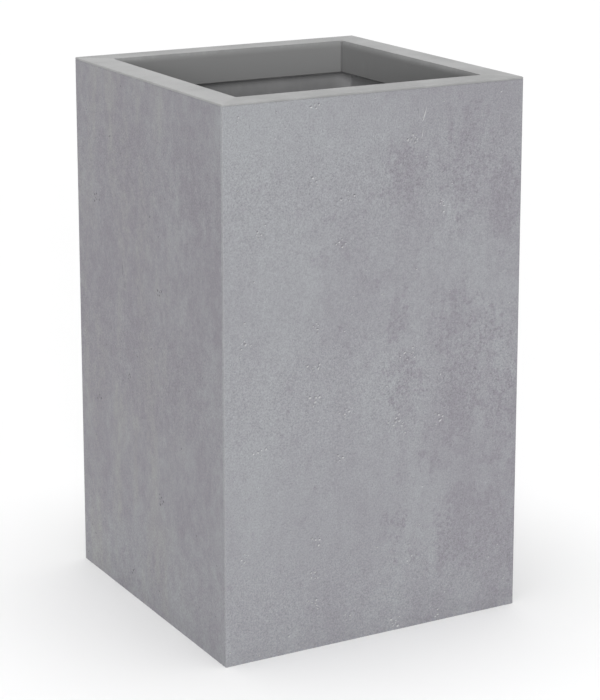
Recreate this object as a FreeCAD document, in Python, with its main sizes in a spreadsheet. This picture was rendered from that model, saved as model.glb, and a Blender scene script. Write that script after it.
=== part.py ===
import FreeCAD, Part
import Sketcher
import math
import os

# A tall square planter: a drafted sleeve with a clipped-in rim frame and base tray, four foot pads,
# a drain plug with its gasket, and a lift-out planting insert with two folding handles.
# Millimetres, +Z up, origin on the floor at the middle of the foot.

SIZES = (
    ("height", 500, "floor to rim top"),
    ("width_top", 300, "outside width of the sleeve under the rim"),
    ("foot_spread", 2.5, "how far each side stands out further at the floor, the mould's draft"),
    ("sleeve_wall", 3, "wall of the sleeve"),
    ("edge_radius", 1.2, "outer radius of the upright edges"),
    ("inside_radius", 2, "inner radius of the upright edges"),
    ("seam_chamfer", 0.3, "chamfer on both sides of the seam between sleeve and rim"),
    ("rim_width", 27, "flat top of the rim, from outside to mouth"),
    ("rim_plate", 2, "thickness of the rim's top"),
    ("rim_edge_round", 0.9, "rounding of the rim's outer top edge"),
    ("mouth_radius", 1.2, "corner radius of the mouth"),
    ("mouth_lead", 1, "how far the mouth widens at the rim's top"),
    ("mouth_lead_depth", 4, "height of that lead-in"),
    ("mouth_lead_round", 15, "rounding where the lead-in runs out into the skirt"),
    ("skirt_depth", 31, "inner skirt, down from the rim's top"),
    ("skirt_wall", 2.5, "wall of the inner skirt"),
    ("skirt_chamfer", 0.8, "chamfer on the skirt's lower edges"),
    ("lap_depth", 16, "wall that locates the rim inside the sleeve, down from the seam"),
    ("lap_wall", 2.5, "thickness of that wall"),
    ("gusset_depth", 13, "gussets under the rim, down from the seam"),
    ("gusset_thickness", 2, "thickness of a gusset"),
    ("gusset_spacing", 48, "from gusset to gusset along a side"),
    ("fit_gap", 0.3, "clearance between pieces that fit together"),
    ("barb_width", 16, "width of a snap barb"),
    ("barb_height", 5, "height of a snap barb"),
    ("barb_catch", 0.9, "how deep a barb enters the sleeve's wall"),
    ("barb_spacing", 140, "between the two barbs of a side"),
    ("rim_barb_drop", 6, "from the seam down to the rim barbs' catch face"),
    ("base_barb_rise", 10, "from the tray's underside up to its barbs' catch face"),
    ("base_lift", 8, "underside of the tray above the floor"),
    ("base_floor", 3, "floor of the tray"),
    ("base_wall", 2.5, "upstand round the tray"),
    ("base_wall_height", 26, "height of the upstand from the tray's underside"),
    ("base_rib_height", 5, "ribs under the tray"),
    ("base_rib_thickness", 2, "thickness of those ribs"),
    ("stand_height", 150, "shoulder of the posts, where the insert rests, above the floor"),
    ("post_spacing", 120, "from post to post"),
    ("post_foot_width", 44, "post at its foot"),
    ("post_top_width", 32, "post at its shoulder"),
    ("post_wall", 3, "thickness of a post's two crossed plates"),
    ("pin_width", 16, "locating pin on a post"),
    ("pin_height", 7, "height of that pin"),
    ("pin_chamfer", 1.5, "lead-in on that pin"),
    ("foot_width", 22, "square foot pad"),
    ("foot_thickness", 5, "thickness of a foot pad"),
    ("foot_proud", 2, "how far a foot pad stands out of its cup"),
    ("foot_chamfer", 0.8, "chamfer round a foot pad's sole"),
    ("foot_inset", 27, "centre of a foot pad in from the tray's sides"),
    ("cup_wall", 2.5, "wall of a foot pad's cup"),
    ("drain_radius", 11, "drain hole in the tray"),
    ("drain_collar_wall", 3, "collar under the drain hole"),
    ("gasket_width", 5, "width of the gasket's ring"),
    ("gasket_thickness", 1.5, "thickness of the gasket"),
    ("plug_head_thickness", 3, "head of the drain plug"),
    ("plug_head_margin", 1, "how far the head reaches past the gasket"),
    ("plug_tip", 3, "how far the plug reaches below the tray's floor"),
    ("plug_chamfer", 1, "lead-in on the plug's tip"),
    ("tab_width", 24, "pull tab of the plug"),
    ("tab_height", 16, "height of the pull tab"),
    ("tab_thickness", 5, "thickness of the pull tab"),
    ("tab_round", 8, "rounding of the tab's upper corners"),
    ("insert_drop", 100, "top of the insert below the rim's top"),
    ("insert_gap", 4, "clearance between the insert's flange and the mouth"),
    ("flange_width", 13, "flange of the insert, outside its wall"),
    ("flange_thickness", 3, "thickness of the flange"),
    ("flange_lip", 9, "turned-down lip of the flange"),
    ("insert_taper", 10, "how far each side of the insert comes in from top to bottom"),
    ("insert_wall", 2.5, "wall of the insert"),
    ("insert_floor", 3, "floor of the insert"),
    ("insert_radius", 11, "corner radius of the insert's walls"),
    ("insert_bevel", 4, "bevel round the insert's foot"),
    ("socket_wall", 2.5, "wall round a socket in the insert's floor"),
    ("socket_play", 1, "room above a pin in its socket"),
    ("slot_width", 6, "drain slots in the insert's floor"),
    ("slot_length", 36, "length of a slot"),
    ("slot_circle", 40, "circle on which the slots' middles lie"),
    ("notch_width", 70, "finger notch in the flange under a handle"),
    ("notch_depth", 10.5, "how far the notch reaches into the flange"),
    ("notch_radius", 6, "inner corners of the notch"),
    ("handle_inset", 1, "handle in from the flange's edge"),
    ("handle_width", 9, "bar of a handle, seen from above"),
    ("handle_thickness", 6, "bar of a handle, seen from the side"),
    ("handle_chamfer", 1.5, "chamfer along the bar"),
    ("pivot_offset", 12, "pivots out from the middle"),
    ("pivot_radius", 2.5, "pivot pin of a handle"),
    ("pivot_gap", 0.05, "running clearance of that pin"),
    ("ear_thickness", 4, "ear that holds the pivots"),
    ("ear_length", 40, "length of an ear"),
    ("ear_height", 8, "height of an ear above the flange"),
    ("ear_round", 4, "rounding of an ear's upper corners"),
)

GUSSETS_PER_SIDE = 5
DRAIN_SLOTS = 8
SIDES = 4
OPPOSITE_SIDES = 2
SMALL = 0.001

# Levels and widths that several pieces share, as expressions on the sheet.
SLEEVE_TOP = "(Sizes.height - Sizes.rim_plate)"
MOUTH = "(Sizes.width_top - 2 * Sizes.rim_width - 2 * Sizes.mouth_lead)"
BASE_TOP = "(Sizes.base_lift + Sizes.base_wall_height)"
BASE_FLOOR_TOP = "(Sizes.base_lift + Sizes.base_floor)"
RIB_LEVEL = "(Sizes.base_lift - Sizes.base_rib_height)"
POST_PLACE = "(Sizes.post_spacing / 2)"
INSERT_TOP = "(Sizes.height - Sizes.insert_drop)"
FLANGE_SIDE = f"({MOUTH} - 2 * Sizes.insert_gap)"
FLANGE_RADIUS = "(Sizes.insert_radius + Sizes.flange_width)"
INSERT_SIDE = f"({FLANGE_SIDE} - 2 * Sizes.flange_width)"
HANDLE_HALF = f"({FLANGE_SIDE} / 2 - Sizes.handle_inset)"
HANDLE_INNER = f"({HANDLE_HALF} - Sizes.handle_width)"
HANDLE_RADIUS = f"({FLANGE_RADIUS} - Sizes.handle_inset)"
HANDLE_BOTTOM = f"({INSERT_TOP} + Sizes.fit_gap)"
PIVOT_LEVEL = f"({HANDLE_BOTTOM} + Sizes.handle_thickness / 2)"
EAR_OUTER = f"({HANDLE_INNER} - Sizes.fit_gap)"
BARB_REACH = "(Sizes.fit_gap + Sizes.barb_catch)"
RIM_BARB_TOP = f"({SLEEVE_TOP} - Sizes.rim_barb_drop)"
RIM_BARB_FOOT = f"({RIM_BARB_TOP} - Sizes.barb_height)"
BASE_BARB_FOOT = "(Sizes.base_lift + Sizes.base_barb_rise)"
BASE_BARB_TOP = f"({BASE_BARB_FOOT} + Sizes.barb_height)"
DRAIN_HEAD = f"({BASE_FLOOR_TOP} + Sizes.gasket_thickness)"
GASKET_RADIUS = "(Sizes.drain_radius + Sizes.gasket_width)"


def sleeve_inside(level):
    """Inner width of the drafted sleeve at a level."""
    spread = f"2 * Sizes.foot_spread * (1 - {level} / {SLEEVE_TOP})"
    return f"(Sizes.width_top - 2 * Sizes.sleeve_wall + {spread})"


def insert_outside(level):
    """Outer width of the insert's tapered walls at a level."""
    share = f"({INSERT_TOP} - {level}) / ({INSERT_TOP} - Sizes.stand_height)"
    return f"({INSERT_SIDE} - 2 * Sizes.insert_taper * {share})"


BASE_SIDE = f"({sleeve_inside(BASE_TOP)} - 2 * Sizes.fit_gap)"
LAP_SIDE = f"({sleeve_inside(SLEEVE_TOP)} - 2 * Sizes.fit_gap)"
FOOT_PLACE = f"({BASE_SIDE} / 2 - Sizes.foot_inset)"
CUP_WIDTH = "(Sizes.foot_width + 2 * Sizes.fit_gap)"

document = FreeCAD.newDocument("SquarePlanter")


def make_sheet():
    """The driving dimensions, one row each."""
    table = document.addObject("Spreadsheet::Sheet", "Sizes")
    for row, (alias, size, meaning) in enumerate(SIZES, start=1):
        table.set(f"A{row}", meaning)
        table.set(f"B{row}", str(size))
        table.setAlias(f"B{row}", alias)
    document.recompute()
    return table


sheet = make_sheet()


def value(expression):
    """The present number of an expression on the sheet."""
    return float(sheet.evalExpression(expression))


def new_body(label):
    body = document.addObject("PartDesign::Body", label)
    body.Label = label
    return body


def origin_feature(body, role):
    return next(item for item in body.Origin.OriginFeatures if item.Role == role)


def new_sketch(body, name, level, role="XY_Plane"):
    """A sketch on one of the body's origin planes, moved along the plane's normal to a level."""
    sketch = body.newObject("Sketcher::SketchObject", name)
    sketch.AttachmentSupport = (origin_feature(body, role), [""])
    sketch.MapMode = "FlatFace"
    sketch.setExpression("AttachmentOffset.Base.z", level)
    return sketch


def bind(sketch, kind, references, expression):
    """A dimension of a sketch, driven by an expression."""
    index = sketch.addConstraint(Sketcher.Constraint(kind, *references, value(expression)))
    name = f"size_{index}"
    sketch.renameConstraint(index, name)
    sketch.setExpression(f"Constraints.{name}", expression)


def place_point(sketch, item, point, across, along):
    """Ties a point of the sketch to the origin in both directions."""
    bind(sketch, "DistanceX", (-1, 1, item, point), across)
    bind(sketch, "DistanceY", (-1, 1, item, point), along)


def add_circle(sketch, across, along, radius):
    centre = FreeCAD.Vector(value(across), value(along), 0)
    normal = FreeCAD.Vector(0, 0, 1)
    item = sketch.addGeometry(Part.Circle(centre, normal, value(radius)))
    place_point(sketch, item, 3, across, along)
    bind(sketch, "Radius", (item,), radius)


def add_polygon(sketch, corners):
    """A closed outline of straight lines through corners given as pairs of expressions."""
    points = [FreeCAD.Vector(value(across), value(along), 0) for across, along in corners]
    items = []
    for start, end in zip(points, points[1:] + points[:1]):
        items.append(sketch.addGeometry(Part.LineSegment(start, end)))
    for item, following in zip(items, items[1:] + items[:1]):
        sketch.addConstraint(Sketcher.Constraint("Coincident", item, 2, following, 1))
    for item, (across, along) in zip(items, corners):
        place_point(sketch, item, 1, across, along)


def add_rectangle(sketch, left, right, low, high):
    add_polygon(sketch, ((left, low), (right, low), (right, high), (left, high)))


def add_rounded_square(sketch, side, radius):
    """A square about the origin with round corners: lines and arcs by turns, counterclockwise."""
    half = value(side) / 2
    corner = value(radius)
    straight = half - corner
    items = []
    for turn in range(SIDES):
        spin = FreeCAD.Rotation(FreeCAD.Vector(0, 0, 1), 90 * turn)
        start = spin.multVec(FreeCAD.Vector(-straight, -half, 0))
        end = spin.multVec(FreeCAD.Vector(straight, -half, 0))
        centre = spin.multVec(FreeCAD.Vector(straight, -straight, 0))
        circle = Part.Circle(centre, FreeCAD.Vector(0, 0, 1), corner)
        first_angle = math.radians(90 * (turn - 1))
        arc = Part.ArcOfCircle(circle, first_angle, first_angle + math.pi / 2)
        items.append(sketch.addGeometry(Part.LineSegment(start, end)))
        items.append(sketch.addGeometry(arc))
    for item, following in zip(items, items[1:] + items[:1]):
        sketch.addConstraint(Sketcher.Constraint("Tangent", item, 2, following, 1))
    bottom, corner_arc, right, _, top, opposite_arc, left, _ = items
    for item in (bottom, top):
        sketch.addConstraint(Sketcher.Constraint("Horizontal", item))
    for item in (right, left):
        sketch.addConstraint(Sketcher.Constraint("Vertical", item))
    for item in items[3::2]:
        sketch.addConstraint(Sketcher.Constraint("Equal", corner_arc, item))
    sketch.addConstraint(Sketcher.Constraint("Symmetric", corner_arc, 3, opposite_arc, 3, -1, 1))
    bind(sketch, "DistanceX", (left, 1, right, 1), side)
    bind(sketch, "DistanceY", (bottom, 1, top, 1), side)
    bind(sketch, "Radius", (corner_arc,), radius)


def rounded_square(body, name, level, *outlines):
    """A sketch of one rounded square, or of two for a ring."""
    sketch = new_sketch(body, name, level)
    for side, radius in outlines:
        add_rounded_square(sketch, side, radius)
    return sketch


def circle(body, name, level, across, along, *radii):
    """A sketch of one circle, or of two for a ring."""
    sketch = new_sketch(body, name, level)
    for radius in radii:
        add_circle(sketch, across, along, radius)
    return sketch


def square(body, name, level, across, along, width):
    """A sketch of one square with its middle at a place."""
    sketch = new_sketch(body, name, level)
    half = f"({width}) / 2"
    left, right = f"{across} - {half}", f"{across} + {half}"
    low, high = f"{along} - {half}", f"{along} + {half}"
    add_rectangle(sketch, left, right, low, high)
    return sketch


def volume(body):
    document.recompute()
    return body.Shape.Volume


def pad(body, name, sketch, length, symmetric=False):
    feature = body.newObject("PartDesign::Pad", name)
    feature.Profile = sketch
    feature.SideType = "Symmetric" if symmetric else "One side"
    feature.setExpression("Length", length)
    document.recompute()
    return feature


def pocket(body, name, sketch, length, symmetric=False):
    """A cut along the sketch's normal, which has to take something away."""
    before = volume(body)
    feature = body.newObject("PartDesign::Pocket", name)
    feature.Profile = sketch
    feature.SideType = "Symmetric" if symmetric else "One side"
    feature.Reversed = True
    feature.setExpression("Length", length)
    if volume(body) > before - SMALL:
        raise RuntimeError(f"{body.Label}: {name} cuts nothing")
    return feature


def loft(body, name, kind, first, *others):
    """Flat-sided walls from each outline to the next one up."""
    feature = body.newObject(f"PartDesign::{kind}Loft", name)
    feature.Profile = first
    feature.Sections = list(others)
    feature.Ruled = True
    document.recompute()
    return feature


def around(body, name, features, count):
    """The features repeated evenly about the planter's upright axis."""
    pattern = body.newObject("PartDesign::PolarPattern", name)
    pattern.Originals = features
    pattern.Axis = (origin_feature(body, "Z_Axis"), [""])
    pattern.Angle = 360
    pattern.Occurrences = count
    body.Tip = pattern
    document.recompute()


def soften(body, name, kind, radius, wanted):
    """A Fillet or Chamfer on the edges that the test picks."""
    base = body.Tip
    edges = base.Shape.Edges
    names = [f"Edge{number}" for number, edge in enumerate(edges, start=1) if wanted(edge)]
    if not names:
        raise RuntimeError(f"{body.Label}: {name} finds no edge")
    feature = body.newObject(f"PartDesign::{kind}", name)
    feature.Base = (base, names)
    feature.setExpression("Radius" if kind == "Fillet" else "Size", radius)
    body.Tip = feature
    document.recompute()
    return feature


def lies_at(edge, level):
    """Whether an edge lies whole at a level."""
    return all(abs(vertex.Z - level) < SMALL for vertex in edge.Vertexes)


def reach(edge):
    """How far out from the upright axis an edge lies, measured square to the sides."""
    middle = edge.CenterOfMass
    return max(abs(middle.x), abs(middle.y))


def snap_barbs(body, name, face, wall, catch, tip):
    """Two wedges on each side's outer face, flat at the catch and sloping to nothing at the tip."""
    wedges = []
    for sign in ("", "-"):
        sketch = new_sketch(body, f"{name}Profile", f"{sign}Sizes.barb_spacing / 2", "XZ_Plane")
        root = f"({face} - {wall} / 2)"
        add_polygon(sketch, ((root, tip), (face, tip), (f"{face} + {BARB_REACH}", catch), (root, catch)))
        wedges.append(pad(body, name, sketch, "Sizes.barb_width", symmetric=True))
    around(body, f"{name}s", wedges, SIDES)


def barb_pockets(body, name, low, high):
    """Blind recesses in the sleeve's inner face, one for each barb, with clearance all round."""
    cuts = []
    inner = f"({sleeve_inside(high)} / 2)"
    for sign in ("", "-"):
        sketch = new_sketch(body, f"{name}Profile", f"{sign}Sizes.barb_spacing / 2", "XZ_Plane")
        add_rectangle(
            sketch,
            f"{inner} - Sizes.sleeve_wall",
            f"{inner} + Sizes.barb_catch + Sizes.fit_gap",
            f"{low} - Sizes.fit_gap",
            f"{high} + Sizes.fit_gap",
        )
        cuts.append(pocket(body, name, sketch, "Sizes.barb_width + 2 * Sizes.fit_gap", symmetric=True))
    around(body, f"{name}s", cuts, SIDES)


def make_outer_sleeve():
    """The drafted square tube, open at both ends, with recesses for the rim's and the tray's barbs."""
    body = new_body("outer_sleeve")
    foot_side = "Sizes.width_top + 2 * Sizes.foot_spread"
    outside = ("Sizes.width_top", "Sizes.edge_radius")
    outside_foot = (foot_side, "Sizes.edge_radius")
    outside_top = ("Sizes.width_top - 2 * Sizes.seam_chamfer", "Sizes.edge_radius - Sizes.seam_chamfer")
    inside = (sleeve_inside(SLEEVE_TOP), "Sizes.inside_radius")
    inside_foot = (sleeve_inside("0"), "Sizes.inside_radius")
    foot = rounded_square(body, "FootOutline", "0", outside_foot)
    shoulder = rounded_square(body, "ShoulderOutline", f"{SLEEVE_TOP} - Sizes.seam_chamfer", outside)
    top = rounded_square(body, "TopOutline", SLEEVE_TOP, outside_top)
    loft(body, "Walls", "Additive", foot, shoulder, top)
    foot = rounded_square(body, "FootOpening", "0", inside_foot)
    top = rounded_square(body, "TopOpening", SLEEVE_TOP, inside)
    loft(body, "Hollow", "Subtractive", foot, top)
    barb_pockets(body, "RimRecess", RIM_BARB_FOOT, RIM_BARB_TOP)
    barb_pockets(body, "TrayRecess", BASE_BARB_FOOT, BASE_BARB_TOP)
    return body


def make_rim_frame():
    """The hollow collar: flat top, inner skirt, locating wall inside the sleeve, gussets and barbs."""
    body = new_body("rim_frame")
    mouth = (MOUTH, "Sizes.mouth_radius")
    skirt_side = f"({MOUTH} + 2 * Sizes.skirt_wall)"
    skirt = (skirt_side, "Sizes.mouth_radius + Sizes.skirt_wall")
    lap_inside = f"({LAP_SIDE} - 2 * Sizes.lap_wall)"
    lap = (LAP_SIDE, "Sizes.inside_radius")
    lap_inner = (lap_inside, "Sizes.inside_radius")
    outline = rounded_square(body, "TopOutline", SLEEVE_TOP, ("Sizes.width_top", "Sizes.edge_radius"), mouth)
    pad(body, "Top", outline, "Sizes.rim_plate")
    outline = rounded_square(body, "SkirtOutline", "Sizes.height - Sizes.skirt_depth", skirt, mouth)
    pad(body, "Skirt", outline, "Sizes.skirt_depth")
    outline = rounded_square(body, "LapOutline", f"{SLEEVE_TOP} - Sizes.lap_depth", lap, lap_inner)
    pad(body, "LocatingWall", outline, "Sizes.lap_depth")
    rim_top = value("Sizes.height")
    skirt_foot = value("Sizes.height - Sizes.skirt_depth")
    seam = value(SLEEVE_TOP)
    mouth_half = value(MOUTH) / 2
    outer_half = value("Sizes.width_top") / 2 - value("Sizes.edge_radius")
    soften(
        body,
        "OuterEdge",
        "Fillet",
        "Sizes.rim_edge_round",
        lambda edge: lies_at(edge, rim_top) and reach(edge) > outer_half,
    )
    lead_in = soften(
        body,
        "MouthLeadIn",
        "Chamfer",
        "Sizes.mouth_lead",
        lambda edge: lies_at(edge, rim_top) and reach(edge) < mouth_half + SMALL,
    )
    lead_in.ChamferType = "Two distances"
    lead_in.setExpression("Size2", "Sizes.mouth_lead_depth")
    document.recompute()
    lead_foot = value("Sizes.height - Sizes.mouth_lead_depth")
    soften(body, "LeadInFoot", "Fillet", "Sizes.mouth_lead_round", lambda edge: lies_at(edge, lead_foot))
    soften(body, "SkirtEdge", "Chamfer", "Sizes.skirt_chamfer", lambda edge: lies_at(edge, skirt_foot))
    soften(
        body,
        "SeamChamfer",
        "Chamfer",
        "Sizes.seam_chamfer",
        lambda edge: lies_at(edge, seam) and reach(edge) > outer_half,
    )
    sketch = new_sketch(body, "GussetOutline", f"{SLEEVE_TOP} - Sizes.gusset_depth")
    first = -(GUSSETS_PER_SIDE - 1) / 2
    for number in range(GUSSETS_PER_SIDE):
        middle = f"{first + number} * Sizes.gusset_spacing"
        add_rectangle(
            sketch,
            f"{skirt_side} / 2 - Sizes.skirt_wall / 2",
            f"{lap_inside} / 2 + Sizes.lap_wall / 2",
            f"{middle} - Sizes.gusset_thickness / 2",
            f"{middle} + Sizes.gusset_thickness / 2",
        )
    gussets = pad(body, "Gussets", sketch, "Sizes.gusset_depth")
    around(body, "GussetsAllRound", [gussets], SIDES)
    snap_barbs(body, "RimBarb", f"{LAP_SIDE} / 2", "Sizes.lap_wall", RIM_BARB_TOP, RIM_BARB_FOOT)
    return body


def make_base_tray():
    """The clip-in bottom: floor, upstand, ribs, posts with pins, foot cups and the drain hole."""
    body = new_body("base_tray")
    outside = (BASE_SIDE, "Sizes.inside_radius")
    inside = (f"{BASE_SIDE} - 2 * Sizes.base_wall", "Sizes.inside_radius")
    outline = rounded_square(body, "FloorOutline", "Sizes.base_lift", outside)
    pad(body, "Floor", outline, "Sizes.base_floor")
    outline = rounded_square(body, "UpstandOutline", "Sizes.base_lift", outside, inside)
    pad(body, "Upstand", outline, "Sizes.base_wall_height")
    sketch = new_sketch(body, "RibOutline", RIB_LEVEL)
    rib_end = f"({BASE_SIDE} / 2 - Sizes.base_wall)"
    add_rectangle(
        sketch,
        f"{POST_PLACE} - Sizes.base_rib_thickness / 2",
        f"{POST_PLACE} + Sizes.base_rib_thickness / 2",
        f"-{rib_end}",
        rib_end,
    )
    rib = pad(body, "Rib", sketch, "Sizes.base_rib_height")
    around(body, "Ribs", [rib], SIDES)
    add_posts(body)
    add_foot_cups(body)
    collar = "Sizes.drain_radius + Sizes.drain_collar_wall"
    sketch = circle(body, "CollarOutline", RIB_LEVEL, "0", "0", collar)
    pad(body, "DrainCollar", sketch, "Sizes.base_rib_height")
    sketch = circle(body, "DrainOutline", RIB_LEVEL, "0", "0", "Sizes.drain_radius")
    pocket(body, "DrainHole", sketch, "Sizes.base_rib_height + Sizes.base_floor")
    snap_barbs(body, "TrayBarb", f"{BASE_SIDE} / 2", "Sizes.base_wall", BASE_BARB_FOOT, BASE_BARB_TOP)
    return body


def add_posts(body):
    """Four tapered posts of two crossed plates each, narrowed above the shoulder to a locating pin."""
    pin_top = "(Sizes.stand_height + Sizes.pin_height)"
    half_widths = (
        ("Sizes.post_foot_width / 2", RIB_LEVEL),
        ("Sizes.post_top_width / 2", "Sizes.stand_height"),
        ("Sizes.pin_width / 2", "Sizes.stand_height"),
        ("Sizes.pin_width / 2", f"{pin_top} - Sizes.pin_chamfer"),
        ("(Sizes.pin_width / 2 - Sizes.pin_chamfer)", pin_top),
    )
    plates = []
    for plane, middle in (("XZ_Plane", POST_PLACE), ("YZ_Plane", f"-{POST_PLACE}")):
        sketch = new_sketch(body, "PostProfile", POST_PLACE, plane)
        right = [(f"{middle} + {half}", level) for half, level in half_widths]
        left = [(f"{middle} - {half}", level) for half, level in reversed(half_widths)]
        add_polygon(sketch, right + left)
        plates.append(pad(body, "PostPlate", sketch, "Sizes.post_wall", symmetric=True))
    around(body, "Posts", plates, SIDES)


def add_foot_cups(body):
    """A shallow cup under each corner of the tray, open below for its foot pad."""
    outer = f"{CUP_WIDTH} + 2 * Sizes.cup_wall"
    sketch = square(body, "CupOutline", "Sizes.foot_proud", FOOT_PLACE, FOOT_PLACE, outer)
    cup = pad(body, "Cup", sketch, "Sizes.base_lift - Sizes.foot_proud")
    sketch = square(body, "CupBore", "Sizes.foot_proud", FOOT_PLACE, FOOT_PLACE, CUP_WIDTH)
    hollow = pocket(body, "CupHollow", sketch, "Sizes.foot_thickness - Sizes.foot_proud")
    around(body, "Cups", [cup, hollow], SIDES)


def make_foot_pad(label, across, along):
    """A square rubber pad with a chamfered sole, pressed into its cup."""
    body = new_body(label)
    sketch = square(body, "PadOutline", "0", "0", "0", "Sizes.foot_width")
    pad(body, "Pad", sketch, "Sizes.foot_thickness")
    soften(body, "Sole", "Chamfer", "Sizes.foot_chamfer", lambda edge: lies_at(edge, 0))
    body.setExpression("Placement.Base.x", f"{across} * {FOOT_PLACE}")
    body.setExpression("Placement.Base.y", f"{along} * {FOOT_PLACE}")
    return body


def make_drain_gasket():
    """The flat ring between the plug's head and the tray's floor."""
    body = new_body("drain_gasket")
    sketch = circle(body, "RingOutline", BASE_FLOOR_TOP, "0", "0", "Sizes.drain_radius", GASKET_RADIUS)
    pad(body, "Ring", sketch, "Sizes.gasket_thickness")
    return body


def make_drain_plug():
    """A turned plug with a broad head, a chamfered stem and a pull tab."""
    body = new_body("drain_plug")
    stem = "(Sizes.drain_radius - Sizes.fit_gap)"
    head = f"({GASKET_RADIUS} + Sizes.plug_head_margin)"
    tip = "(Sizes.base_lift - Sizes.plug_tip)"
    head_top = f"({DRAIN_HEAD} + Sizes.plug_head_thickness)"
    profile = new_sketch(body, "PlugProfile", "0", "XZ_Plane")
    corners = (
        ("0", tip),
        (f"{stem} - Sizes.plug_chamfer", tip),
        (stem, f"{tip} + Sizes.plug_chamfer"),
        (stem, DRAIN_HEAD),
        (head, DRAIN_HEAD),
        (head, head_top),
        ("0", head_top),
    )
    add_polygon(profile, corners)
    plug = body.newObject("PartDesign::Revolution", "Plug")
    plug.Profile = profile
    plug.ReferenceAxis = (origin_feature(body, "Z_Axis"), [""])
    plug.Angle = 360
    document.recompute()
    profile = new_sketch(body, "TabProfile", "0", "XZ_Plane")
    tab_top = f"({head_top} + Sizes.tab_height)"
    add_rectangle(profile, "-Sizes.tab_width / 2", "Sizes.tab_width / 2", DRAIN_HEAD, tab_top)
    pad(body, "Tab", profile, "Sizes.tab_thickness", symmetric=True)
    corner = value("Sizes.tab_width") / 2
    tab_level = value(tab_top)
    soften(
        body,
        "TabCorners",
        "Fillet",
        "Sizes.tab_round",
        lambda edge: lies_at(edge, tab_level) and abs(abs(edge.CenterOfMass.x) - corner) < SMALL,
    )
    return body


def make_planting_insert():
    """The lift-out bucket: tapered walls, notched flange with a lip, ears, sockets and drain slots."""
    body = new_body("planting_insert")
    foot_level = "Sizes.stand_height"
    bevel_level = f"({foot_level} + Sizes.insert_bevel)"
    floor_top = f"({foot_level} + Sizes.insert_floor)"
    foot_side = f"{insert_outside(foot_level)} - 2 * Sizes.insert_bevel"
    foot = (foot_side, "Sizes.insert_radius - Sizes.insert_bevel")
    bevel = (insert_outside(bevel_level), "Sizes.insert_radius")
    top = (INSERT_SIDE, "Sizes.insert_radius")
    cavity_radius = "Sizes.insert_radius - Sizes.insert_wall"
    cavity_foot = (f"{insert_outside(floor_top)} - 2 * Sizes.insert_wall", cavity_radius)
    cavity_top = (f"{INSERT_SIDE} - 2 * Sizes.insert_wall", cavity_radius)
    flange = (FLANGE_SIDE, FLANGE_RADIUS)
    lip_inner = (f"{FLANGE_SIDE} - 2 * Sizes.insert_wall", f"{FLANGE_RADIUS} - Sizes.insert_wall")
    loft(
        body,
        "Walls",
        "Additive",
        rounded_square(body, "FootOutline", foot_level, foot),
        rounded_square(body, "BevelOutline", bevel_level, bevel),
        rounded_square(body, "TopOutline", INSERT_TOP, top),
    )
    outline = rounded_square(body, "FlangeOutline", f"{INSERT_TOP} - Sizes.flange_thickness", flange)
    pad(body, "Flange", outline, "Sizes.flange_thickness")
    outline = rounded_square(body, "LipOutline", f"{INSERT_TOP} - Sizes.flange_lip", flange, lip_inner)
    pad(body, "Lip", outline, "Sizes.flange_lip")
    loft(
        body,
        "Cavity",
        "Subtractive",
        rounded_square(body, "CavityFoot", floor_top, cavity_foot),
        rounded_square(body, "CavityTop", INSERT_TOP, cavity_top),
    )
    add_notches(body)
    add_ears(body)
    add_sockets(body, foot_level)
    add_slots(body, foot_level)
    return body


def add_slots(body, foot_level):
    """Drain slots through the floor, laid out like the rays of a star."""
    sketch = new_sketch(body, "SlotOutline", foot_level)
    add_rectangle(
        sketch,
        "Sizes.slot_circle - Sizes.slot_length / 2",
        "Sizes.slot_circle + Sizes.slot_length / 2",
        "-Sizes.slot_width / 2",
        "Sizes.slot_width / 2",
    )
    slot = pocket(body, "Slot", sketch, "Sizes.insert_floor")
    around(body, "Slots", [slot], DRAIN_SLOTS)


def add_notches(body):
    """A finger notch in the flange under the middle of each handle."""
    edge_place = f"({FLANGE_SIDE} / 2)"
    sketch = new_sketch(body, "NotchOutline", f"{INSERT_TOP} - Sizes.flange_lip")
    add_rectangle(
        sketch,
        f"{edge_place} - Sizes.notch_depth",
        f"{edge_place} + Sizes.notch_depth",
        "-Sizes.notch_width / 2",
        "Sizes.notch_width / 2",
    )
    notch = pocket(body, "Notch", sketch, "Sizes.flange_lip")
    around(body, "Notches", [notch], OPPOSITE_SIDES)
    inner = value(f"{edge_place} - Sizes.notch_depth")
    end = value("Sizes.notch_width") / 2

    def inner_corner(edge):
        middle = edge.CenterOfMass
        upright = edge.Length > SMALL and abs(edge.tangentAt(edge.FirstParameter).z) > 1 - SMALL
        return upright and abs(abs(middle.x) - inner) < SMALL and abs(abs(middle.y) - end) < SMALL

    soften(body, "NotchCorners", "Fillet", "Sizes.notch_radius", inner_corner)


def add_ears(body):
    """An ear on the flange at the middle of the two other sides, bored for both handles' pivots."""
    half = "Sizes.ear_length / 2"
    ear_top = f"({INSERT_TOP} + Sizes.ear_height)"
    outer_face = f"-{EAR_OUTER}"
    sketch = new_sketch(body, "EarProfile", outer_face, "XZ_Plane")
    add_rectangle(sketch, f"-{half}", half, f"{INSERT_TOP} - Sizes.flange_thickness / 2", ear_top)
    ear = pad(body, "Ear", sketch, "Sizes.ear_thickness")
    around(body, "Ears", [ear], OPPOSITE_SIDES)
    level = value(ear_top)
    end = value(half)
    soften(
        body,
        "EarCorners",
        "Fillet",
        "Sizes.ear_round",
        lambda edge: lies_at(edge, level) and abs(abs(edge.CenterOfMass.x) - end) < SMALL,
    )
    sketch = new_sketch(body, "PivotProfile", outer_face, "XZ_Plane")
    for sign in ("", "-"):
        add_circle(sketch, f"{sign}Sizes.pivot_offset", PIVOT_LEVEL, "Sizes.pivot_radius + Sizes.pivot_gap")
    bores = pocket(body, "PivotBore", sketch, "Sizes.ear_thickness")
    around(body, "PivotBores", [bores], OPPOSITE_SIDES)


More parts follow.
